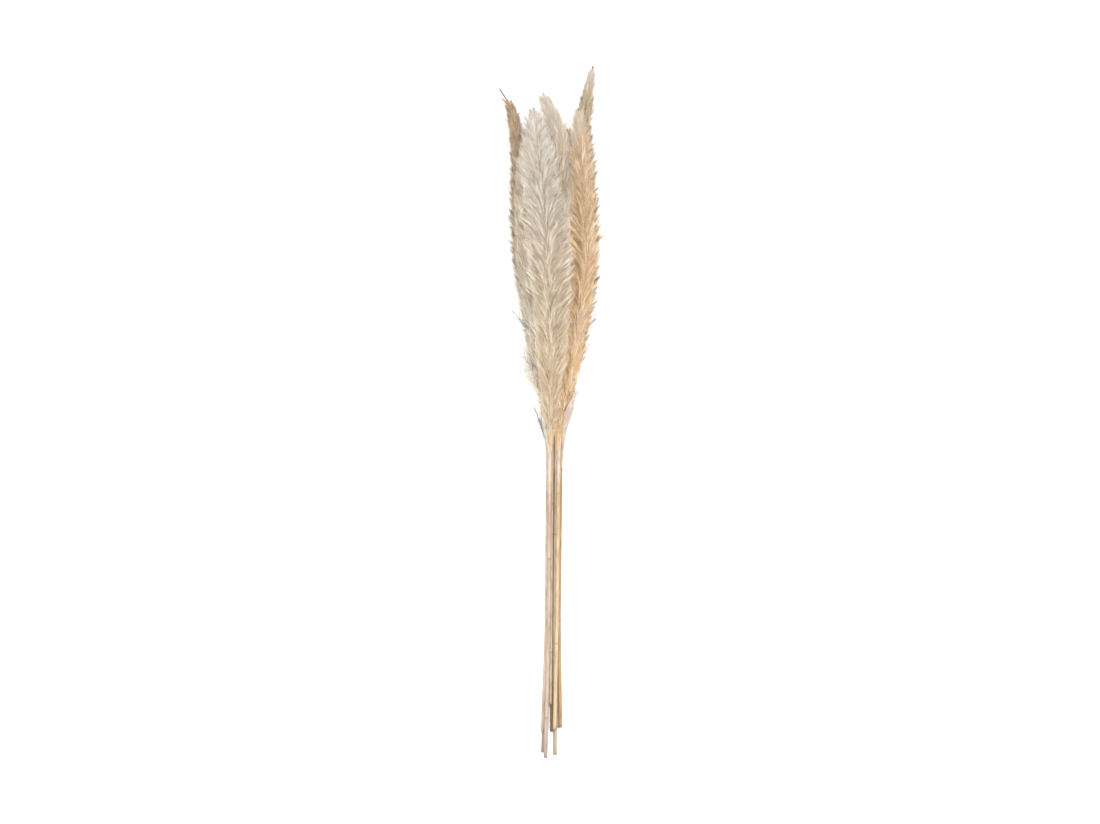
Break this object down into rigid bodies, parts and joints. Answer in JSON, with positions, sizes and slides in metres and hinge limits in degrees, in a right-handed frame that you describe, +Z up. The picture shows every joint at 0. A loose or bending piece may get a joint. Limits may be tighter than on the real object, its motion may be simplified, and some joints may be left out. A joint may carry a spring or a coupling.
{
  "type": "bundle of pampas grass",
  "caption": "Slim bundle of dried pampas grass stalks lying flat: thin bare stems packed side by side, opening into feathery cream, peach and tan plumes.",
  "frame": {"origin": "on the surface that the bundle lies on, under the middle of its bounding box", "axes": "+Y along the bundle from the cut stem ends to the plume tips, +X across it to the right as seen from above with the tips at the top, +Z up from the surface"},
  "size_m": [0.1212, 0.7995, 0.0851],
  "materials": {
    "stem_grey": "satin",
    "stem_straw": "satin",
    "stem_orange": "satin",
    "stem_brown": "satin",
    "plume_white": "soft, hairy",
    "plume_cream": "soft, hairy",
    "plume_peach": "soft, hairy",
    "plume_tan": "soft, hairy",
    "plume_sand": "soft, hairy"
  },
  "bodies": {
    "root": {"stem_white_front": "stem_grey", "stem_peach_right": "stem_straw", "stem_cream_middle": "stem_grey", "stem_tan_right": "stem_orange", "stem_tan_left": "stem_grey", "stem_cream_left": "stem_straw", "stem_cream_inner": "stem_straw", "stem_sand_left": "stem_brown", "stem_sand_right": "stem_straw", "plume_white_front": "plume_white", "plume_peach_right": "plume_peach", "plume_cream_middle": "plume_cream", "plume_tan_right": "plume_tan", "plume_tan_left": "plume_tan", "plume_cream_left": "plume_cream", "plume_cream_inner": "plume_cream", "plume_sand_left": "plume_sand", "plume_sand_right": "plume_sand"}
  },
  "joints": []
}
